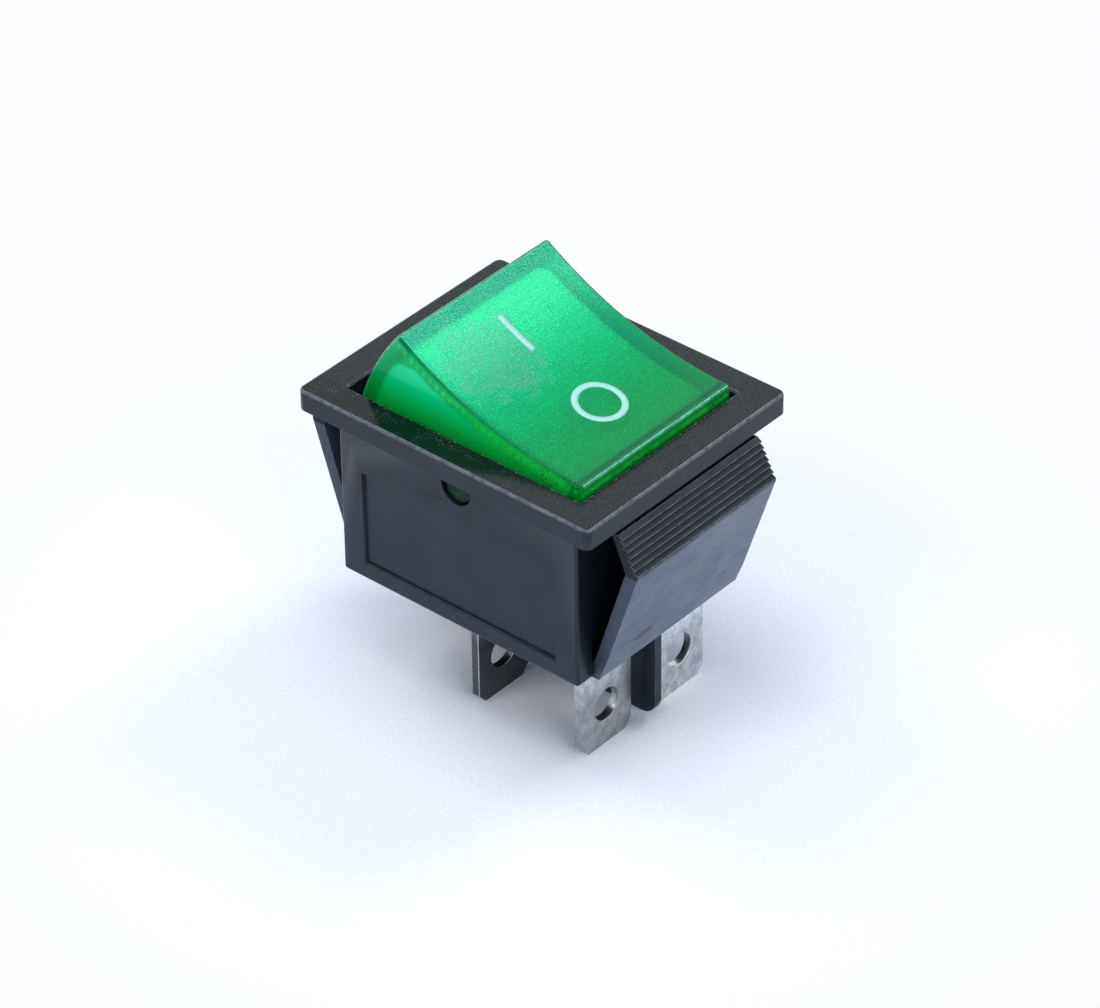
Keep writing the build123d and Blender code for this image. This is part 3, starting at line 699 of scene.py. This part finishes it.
def metal(name, dark, light, roughness, size_mm, depth_mm=0.004):
    """A metal with slight tarnish, rougher where it is tarnished."""
    g = Graph(name)
    tarnish = g.noise(size_mm, 3.0, 0.6)
    g.set(
        base_color=g.mix(g.ramp(tarnish, 0.35, 0.7), dark, light),
        metallic=1.0,
        roughness=g.ramp(tarnish, 0.3, 0.7, roughness + 0.1, roughness),
        normal=g.bump(tarnish, depth_mm, 0.6),
    )
    return g.material


def white_plastic():
    """Moulded white plastic that lets a little light in."""
    g = Graph("white_plastic")
    cloud = g.noise(1.8, 3.0, 0.6)
    g.set(
        base_color=g.mix(g.ramp(cloud, 0.3, 0.7), (0.70, 0.72, 0.68), (0.82, 0.83, 0.80)),
        roughness=0.45,
        subsurface_weight=0.2,
        subsurface_radius=(0.6 * MM, 0.6 * MM, 0.5 * MM),
        subsurface_scale=1.0,
        normal=g.bump(g.noise(0.2, 2.0, 0.5), 0.006, 0.6),
    )
    return g.material


def lamp_glass():
    """Clear drawn glass with faint streaks."""
    g = Graph("lamp_glass")
    streak = g.noise(0.8, 2.0, 0.5, stretch=(0.2, 1.0, 1.0))
    g.set(
        base_color=(0.93, 0.95, 0.94),
        roughness=g.ramp(streak, 0.3, 0.7, 0.02, 0.08),
        transmission_weight=1.0,
        ior=1.48,
    )
    return g.material


def resistor_coat():
    """Tan lacquer with three colour rings."""
    g = Graph("resistor_coat")
    cloud = g.noise(0.5, 3.0, 0.6)
    tan = g.mix(g.ramp(cloud, 0.3, 0.7), (0.42, 0.30, 0.16), (0.52, 0.40, 0.24))
    y = g.axis("Y")
    for middle, colour in RINGS:
        tan = g.mix(g.line(y, middle, 0.14, 0.18), tan, colour)
    g.set(base_color=tan, roughness=0.4, normal=g.bump(cloud, 0.01, 0.5))
    return g.material


MATERIALS = {
    "black_nylon": black_nylon(),
    "green_lens": lens_side(),
    "white_plastic": white_plastic(),
    "lamp_glass": lamp_glass(),
    "lead_wire": metal("lead_wire", (0.50, 0.50, 0.49), (0.68, 0.68, 0.67), 0.3, 0.5),
    "resistor_coat": resistor_coat(),
    "spring_steel": metal("spring_steel", (0.42, 0.42, 0.43), (0.60, 0.60, 0.61), 0.28, 0.4),
    "contact_copper": metal("contact_copper", (0.50, 0.25, 0.13), (0.72, 0.42, 0.26), 0.32, 0.9),
    "contact_silver": metal("contact_silver", (0.55, 0.54, 0.50), (0.80, 0.79, 0.76), 0.28, 0.4),
    "blade_metal": blade_metal(),
}


# Copies of CAD surfaces

def placed(name, mesh, *materials):
    """Puts a mesh into the scene as an object with these materials."""
    piece = bpy.data.objects.new(name, mesh)
    bpy.context.scene.collection.objects.link(piece)
    for material in materials:
        mesh.materials.append(material)
    return piece


def rounded_copy(node, name, slot, width_mm, edge_material):
    """A copy of a fixed CAD node's surface whose outer edges are slightly rounded and take the given edge
    material, which on the case is pale from wear with painted shade in places.
    """
    mesh = bpy.data.meshes.new(name)
    form = bmesh.new()
    form.from_mesh(frame["nodes"][node].data)
    bmesh.ops.remove_doubles(form, verts=form.verts, dist=WELD * MM)
    bmesh.ops.dissolve_limit(form, angle_limit=radians(FLAT), verts=form.verts, edges=form.edges)
    sharp = [
        edge for edge in form.edges
        if edge.is_manifold and edge.is_convex and edge.calc_face_angle(0.0) > radians(SHARP)
    ]
    rounded = bmesh.ops.bevel(
        form, geom=sharp, offset=width_mm * MM, segments=2, profile=0.5, affect="EDGES", clamp_overlap=True
    )
    for face in rounded["faces"]:
        face.material_index = 1
    bmesh.ops.triangulate(form, faces=[face for face in form.faces if len(face.verts) > 4])
    for face in form.faces:
        face.smooth = True
    form.to_mesh(mesh)
    form.free()
    piece = placed(name, mesh, MATERIALS[slot], edge_material)
    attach(piece, "case")
    weighted = piece.modifiers.new("even_shading", "WEIGHTED_NORMAL")
    weighted.keep_sharp = False
    weighted.weight = 90
    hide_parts(node)


def soft_copy(node, name, slot):
    """A copy of a CAD node's surface with one material, shown in place of the hidden node."""
    mesh = frame["nodes"][node].data.copy()
    mesh.materials.clear()
    piece = placed(name, mesh, MATERIALS[slot])
    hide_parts(node)
    return piece


def plunger_coil(side):
    """A plunger's spring, which rides with the rocker."""
    piece = soft_copy("plunger_spring_" + side, "plunger_coil_" + side, "spring_steel")
    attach(piece, "rocker")
    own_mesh(piece)


def lamp_coil(side):
    """A lamp spring, which stands on its terminal."""
    node = "lamp_spring_" + side
    piece = soft_copy(node, "lamp_coil_" + side, "spring_steel")
    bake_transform(piece)


def dress_nodes():
    """Gives every CAD node its own material."""
    slots = {part["node"]: part["material_slot"] for part in frame["record"]["subparts"]}
    for node, solid in frame["nodes"].items():
        for slot in solid.material_slots:
            slot.material = MATERIALS[slots[node]]


# The rocker's shape

def arc(centre, start, end, steps):
    """Points along the shorter arc about a centre, both ends included."""
    a = atan2(start[1] - centre[1], start[0] - centre[0])
    b = atan2(end[1] - centre[1], end[0] - centre[0])
    turn = (b - a + pi) % (2 * pi) - pi
    radius = hypot(start[0] - centre[0], start[1] - centre[1])
    return [
        (centre[0] + radius * cos(a + turn * i / steps), centre[1] + radius * sin(a + turn * i / steps))
        for i in range(steps + 1)
    ]


def section(top_skin, end_skin, corner):
    """Half of the rocker's long section, from the foot on the +X end up to the saddle's middle."""
    tip = (TIP_HALF - end_skin, saddle_z(TIP_HALF - end_skin, top_skin))
    foot = (FOOT[0] - end_skin, FOOT[1])
    centre, radius = circle_through(tip, (BELLY[0] - end_skin, BELLY[1]), foot)

    # The corner's circle touches the end's circle from inside and the saddle's from outside.
    outer = SADDLE_RADIUS + top_skin + corner
    inner = radius - corner
    dx = SADDLE_CENTRE[0] - centre[0]
    dy = SADDLE_CENTRE[1] - centre[1]
    gap = hypot(dx, dy)
    along = (inner ** 2 - outer ** 2 + gap ** 2) / (2 * gap)
    across = sqrt(inner ** 2 - along ** 2)
    middle = (
        centre[0] + along * dx / gap + across * dy / gap,
        centre[1] + along * dy / gap - across * dx / gap,
    )
    on_end = (
        centre[0] + (middle[0] - centre[0]) * radius / inner,
        centre[1] + (middle[1] - centre[1]) * radius / inner,
    )
    share = (SADDLE_RADIUS + top_skin) / outer
    on_top = (
        SADDLE_CENTRE[0] + (middle[0] - SADDLE_CENTRE[0]) * share,
        SADDLE_CENTRE[1] + (middle[1] - SADDLE_CENTRE[1]) * share,
    )
    return (
        arc(centre, foot, on_end, END_STEPS)
        + arc(middle, on_end, on_top, CORNER_STEPS)[1:]
        + arc(SADDLE_CENTRE, on_top, (0.0, saddle_z(0.0, top_skin)), TOP_STEPS)[1:]
    )


def whole_section(half):
    """The whole outline, from the foot on the +X end over the top to the foot on the -X end."""
    return half + [(-x, z) for x, z in reversed(half[:-1])]


def skin_rows(form, side, skins, rounds, ridges):
    """A skin's rows of points, from one side over its rounded edge and across to the other side."""
    top_skin, end_skin = skins
    corner, edge = rounds
    rows = []
    for i in range(2 * EDGE_STEPS + 2):
        step = min(i, 2 * EDGE_STEPS + 1 - i)
        turn = radians(90) * step / EDGE_STEPS
        inset = edge * (1 - sin(turn))
        y = side - edge * (1 - cos(turn))
        y = -y if i <= EDGE_STEPS else y
        half = section(top_skin + inset, end_skin + inset, max(corner - inset, LEAST_ROUND))
        outline = whole_section(half)
        row = []
        for n, (x, z) in enumerate(outline):
            above = END_STEPS + CORNER_STEPS <= n < len(outline) - END_STEPS - CORNER_STEPS
            drop = ridges * (0.5 - 0.5 * cos(2 * pi * x / RIDGE_PITCH)) if above else 0.0
            row.append(form.verts.new((x, y, z - drop)))
        rows.append(row)
    return rows


def add_skin(form, side, skins, rounds, slots, ridges=0.0):
    """One skin of the rocker, open at its foot, with its long edges rounded. Returns its rows of points."""
    rows = skin_rows(form, side, skins, rounds, ridges)
    top_slot, side_slot, edge_slot = slots
    first_top = END_STEPS + CORNER_STEPS
    last_top = len(rows[0]) - 2 - first_top
    for k, (row, following) in enumerate(zip(rows, rows[1:])):
        for i in range(len(row) - 1):
            face = form.faces.new((row[i], row[i + 1], following[i + 1], following[i]))
            on_top = first_top <= i <= last_top
            on_end = i < END_STEPS or i > len(row) - 2 - END_STEPS
            # The edge material, with its painted highlight, goes on the rounded corners across both ends and
            # on the rounded long edges at the -X end; the other rounded edges take the side material.
            if k == EDGE_STEPS:
                face.material_index = top_slot if on_top else side_slot if on_end else edge_slot
            else:
                at_off_end = i < first_top
                face.material_index = side_slot if on_top or at_off_end else edge_slot
            face.smooth = True
    for row in (rows[0], rows[-1]):
        form.faces.new(row).material_index = side_slot
    return rows


def join_skins(form, outer, inner, slot):
    """Closes the foot between the outer and the inner skin."""
    for end in (0, -1):
        for k in range(len(outer) - 1):
            rim = (outer[k][end], outer[k + 1][end], inner[k + 1][end], inner[k][end])
            form.faces.new(rim).material_index = slot
    for row in (0, -1):
        rim = (outer[row][0], outer[row][-1], inner[row][-1], inner[row][0])
        form.faces.new(rim).material_index = slot


def add_rod(form, radius, inner, outer):
    """A round pin along Y through the pivot, with a small chamfer at its outer end."""
    sign = 1 if outer > 0 else -1
    rings = []
    for r, y in ((radius, inner), (radius, outer - sign * PIN_CHAMFER), (radius - PIN_CHAMFER, outer)):
        turns = [2 * pi * i / PIN_STEPS for i in range(PIN_STEPS)]
        rings.append([form.verts.new((r * cos(turn), y, r * sin(turn))) for turn in turns])
    made = []
    for a, b in zip(rings, rings[1:]):
        for i in range(PIN_STEPS):
            j = (i + 1) % PIN_STEPS
            made.append(form.faces.new((a[i], a[j], b[j], b[i])))
            made[-1].smooth = True
    made.append(form.faces.new(rings[0]))
    made.append(form.faces.new(rings[-1]))
    bmesh.ops.recalc_face_normals(form, faces=made)


def made_mesh(name, form):
    """Turns a form drawn in the rocker's level frame into a mesh at its rest place."""
    level_to_rest = Matrix.Translation(PIVOT) @ Matrix.Rotation(radians(TILT), 4, "Y")
    bmesh.ops.transform(form, matrix=Matrix.Scale(MM, 4) @ level_to_rest, verts=form.verts)
    mesh = bpy.data.meshes.new(name)
    form.to_mesh(mesh)
    form.free()
    return mesh


def join_pivots(lens, material):
    """Makes the pivot pins and their lugs part of the rocker's mesh."""
    rods = bmesh.new()
    for y in (-1, 1):
        add_rod(rods, LUG_RADIUS, y * (SIDE - SIDE_SKIN + LUG_SUNK), y * (SIDE - LUG_SUNK))
        add_rod(rods, PIN_RADIUS, y * (SIDE - PIN_ROOT), y * PIN_END)
    pivots = placed("pivot_tool", made_mesh("pivot_tool", rods), material)
    join = lens.modifiers.new("pivots", "BOOLEAN")
    join.operation = "UNION"
    join.solver = "EXACT"
    join.use_self = True
    join.material_mode = "TRANSFER"
    join.object = pivots
    joined = bpy.data.meshes.new_from_object(lens.evaluated_get(bpy.context.evaluated_depsgraph_get()))
    lens.modifiers.clear()
    lens.data = joined
    bpy.data.objects.remove(pivots)


def make_lens():
    """The green rocker: a thick clear skin, matt inside, with its lugs and pins."""
    materials = (lens_top(), lens_side(), lens_frost(), lens_edge(), lens_pin())
    top, side, frost, edge, pin = range(len(materials))
    form = bmesh.new()
    outer = add_skin(form, SIDE, (0.0, 0.0), (EDGE_ROUND, EDGE_ROUND), (top, side, edge))
    skins, rounds = (TOP_SKIN, END_SKIN), (INNER_ROUND, INNER_EDGE)
    inner = add_skin(form, SIDE - SIDE_SKIN, skins, rounds, (frost, frost, frost), ridges=RIDGE_DEPTH)
    join_skins(form, outer, inner, side)
    bmesh.ops.recalc_face_normals(form, faces=form.faces)
    lens = placed("rocker_skin", made_mesh("rocker_skin", form), *materials)
    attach(lens, "rocker")
    join_pivots(lens, materials[pin])
    weighted = lens.modifiers.new("even_shading", "WEIGHTED_NORMAL")
    weighted.keep_sharp = True
    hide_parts("rocker_lens")


# The marks

def mark(name, corners, faces, material):
    """A printed mark laid on the rocker's saddle, given in the level frame's X and Y."""
    form = bmesh.new()
    lifted = [form.verts.new((x, y, saddle_z(x) + MARK_PROUD)) for x, y in corners]
    for face in faces:
        form.faces.new([lifted[i] for i in face])
    bmesh.ops.recalc_face_normals(form, faces=form.faces)
    if form.faces[:][0].normal.z < 0:
        bmesh.ops.reverse_faces(form, faces=form.faces)
    mesh = made_mesh(name, form)
    for face in mesh.polygons:
        face.use_smooth = True
    piece = placed(name, mesh, material)
    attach(piece, "rocker")
    thick = piece.modifiers.new("film", "SOLIDIFY")
    thick.thickness = MARK_FILM * MM
    thick.offset = -1.0


def make_marks():
    """The bar at the ON end and the ring at the OFF end."""
    white = mark_white()
    bar = []
    for i in range(BAR_STEPS + 1):
        x = BAR_CENTRE + BAR_LENGTH * (i / BAR_STEPS - 0.5)
        bar += [(x, -BAR_WIDTH / 2), (x, BAR_WIDTH / 2)]
    quads = [(2 * i, 2 * i + 1, 2 * i + 3, 2 * i + 2) for i in range(BAR_STEPS)]
    mark("mark_on_bar", bar, quads, white)
    ring = []
    for i in range(RING_STEPS):
        turn = 2 * pi * i / RING_STEPS
        for radius in (RING_INNER, (RING_INNER + RING_OUTER) / 2, RING_OUTER):
            ring.append((RING_CENTRE + radius * cos(turn), radius * sin(turn)))
    quads = []
    for i in range(RING_STEPS):
        j = (i + 1) % RING_STEPS
        for k in (0, 1):
            quads.append((3 * i + k, 3 * i + k + 1, 3 * j + k + 1, 3 * j + k))
    mark("mark_off_ring", ring, quads, white)


# Floor, light and camera

def make_floor():
    """A pale table that fades to white away from the object."""
    bpy.ops.mesh.primitive_plane_add(size=TABLE_SIZE * MM, location=(0, 0, cad_box[0].z))
    floor = bpy.context.object
    floor.name = "table"
    g = Graph("table")
    paper = g.noise(0.28, 3.0, 0.7)
    g.set(
        base_color=g.mix(g.ramp(paper, 0.3, 0.7), (0.850, 0.890, 0.950), (0.960, 0.975, 0.995)),
        roughness=0.8,
        normal=g.bump(paper, 0.05, 0.5),
        specular_ior_level=0.2,
    )
    glow = g.nodes.new("ShaderNodeEmission")
    glow.inputs["Color"].default_value = (0.97, 0.985, 1.0, 1.0)
    away = g.rise(g.length(g.axis("X"), g.axis("Y")), FADE_FROM, FADE_TO)
    mix = g.nodes.new("ShaderNodeMixShader")
    g.links.new(g.product(direct_rays(g.material.node_tree), away), mix.inputs[0])
    g.links.new(g.shader.outputs[0], mix.inputs[1])
    g.links.new(glow.outputs[0], mix.inputs[2])
    g.links.new(mix.outputs[0], g.nodes["Material Output"].inputs["Surface"])
    floor.data.materials.append(g.material)


def make_world():
    """White surroundings for what is seen, and a soft blue fill for the rest of the light."""
    world = bpy.data.worlds.new("studio")
    bpy.context.scene.world = world
    world.use_nodes = True
    nodes, links = world.node_tree.nodes, world.node_tree.links
    fill = nodes["Background"]
    fill.inputs["Color"].default_value = (0.45, 0.64, 1.0, 1.0)
    fill.inputs["Strength"].default_value = 0.40
    white = nodes.new("ShaderNodeBackground")
    white.inputs["Color"].default_value = (1.0, 1.0, 1.0, 1.0)
    mix = nodes.new("ShaderNodeMixShader")
    links.new(direct_rays(world.node_tree), mix.inputs[0])
    links.new(fill.outputs[0], mix.inputs[1])
    links.new(white.outputs[0], mix.inputs[2])
    links.new(mix.outputs[0], nodes["World Output"].inputs["Surface"])


def towards(azimuth, elevation):
    """A direction away from the object."""
    a, e = radians(azimuth), radians(elevation)
    return Vector((sin(a) * cos(e), -cos(a) * cos(e), sin(e)))


def soft_light(name, azimuth, elevation, distance, size, watts):
    """A soft box that faces the object."""
    light = bpy.data.lights.new(name, "AREA")
    light.shape = "RECTANGLE"
    light.size, light.size_y = size
    light.energy = watts
    light.color = WARM
    box = bpy.data.objects.new(name, light)
    bpy.context.scene.collection.objects.link(box)
    back = towards(azimuth, elevation)
    box.location = LIT_POINT * MM + back * distance
    box.rotation_mode = "QUATERNION"
    box.rotation_quaternion = back.to_track_quat("Z", "Y")


def make_camera():
    """The photograph's own view of the object."""
    back = towards(AZIMUTH, ELEVATION)
    level = Vector((cos(radians(AZIMUTH)), sin(radians(AZIMUTH)), 0))
    raised = back.cross(level)
    roll = radians(ROLL)
    right = level * cos(roll) + raised * sin(roll)
    up = raised * cos(roll) - level * sin(roll)
    camera = bpy.data.objects.new("camera", bpy.data.cameras.new("camera"))
    bpy.context.scene.collection.objects.link(camera)
    camera.data.sensor_width = SENSOR
    camera.data.lens = camera.data.sensor_width * FOCAL_PIXELS / PHOTO_WIDTH
    camera.data.clip_start, camera.data.clip_end = 0.01, 10.0
    place = (back * DISTANCE + right * AIM_RIGHT + up * AIM_UP) * MM
    camera.matrix_world = Matrix.Translation(place) @ Matrix((right, up, back)).transposed().to_4x4()
    bpy.context.scene.camera = camera


bpy.context.scene.view_settings.view_transform = "Standard"

dress_nodes()
rounded_copy("housing", "case_moulding", "black_nylon", CASE_EDGE, edge_wear_and_shade())
bright_edge = metal("blade_metal_edge", (0.46, 0.48, 0.49), (0.66, 0.68, 0.69), 0.36, 0.4, 0.006)
for blade in ("load_terminal_a", "load_terminal_b", "common_terminal_a", "common_terminal_b"):
    rounded_copy(blade, blade + "_plated", "blade_metal", BLADE_EDGE, bright_edge)

make_lens()
make_marks()
for side in ("a", "b"):
    plunger_coil(side)
    lamp_coil(side)

make_floor()
make_world()
for light in LIGHTS:
    soft_light(*light)
make_camera()
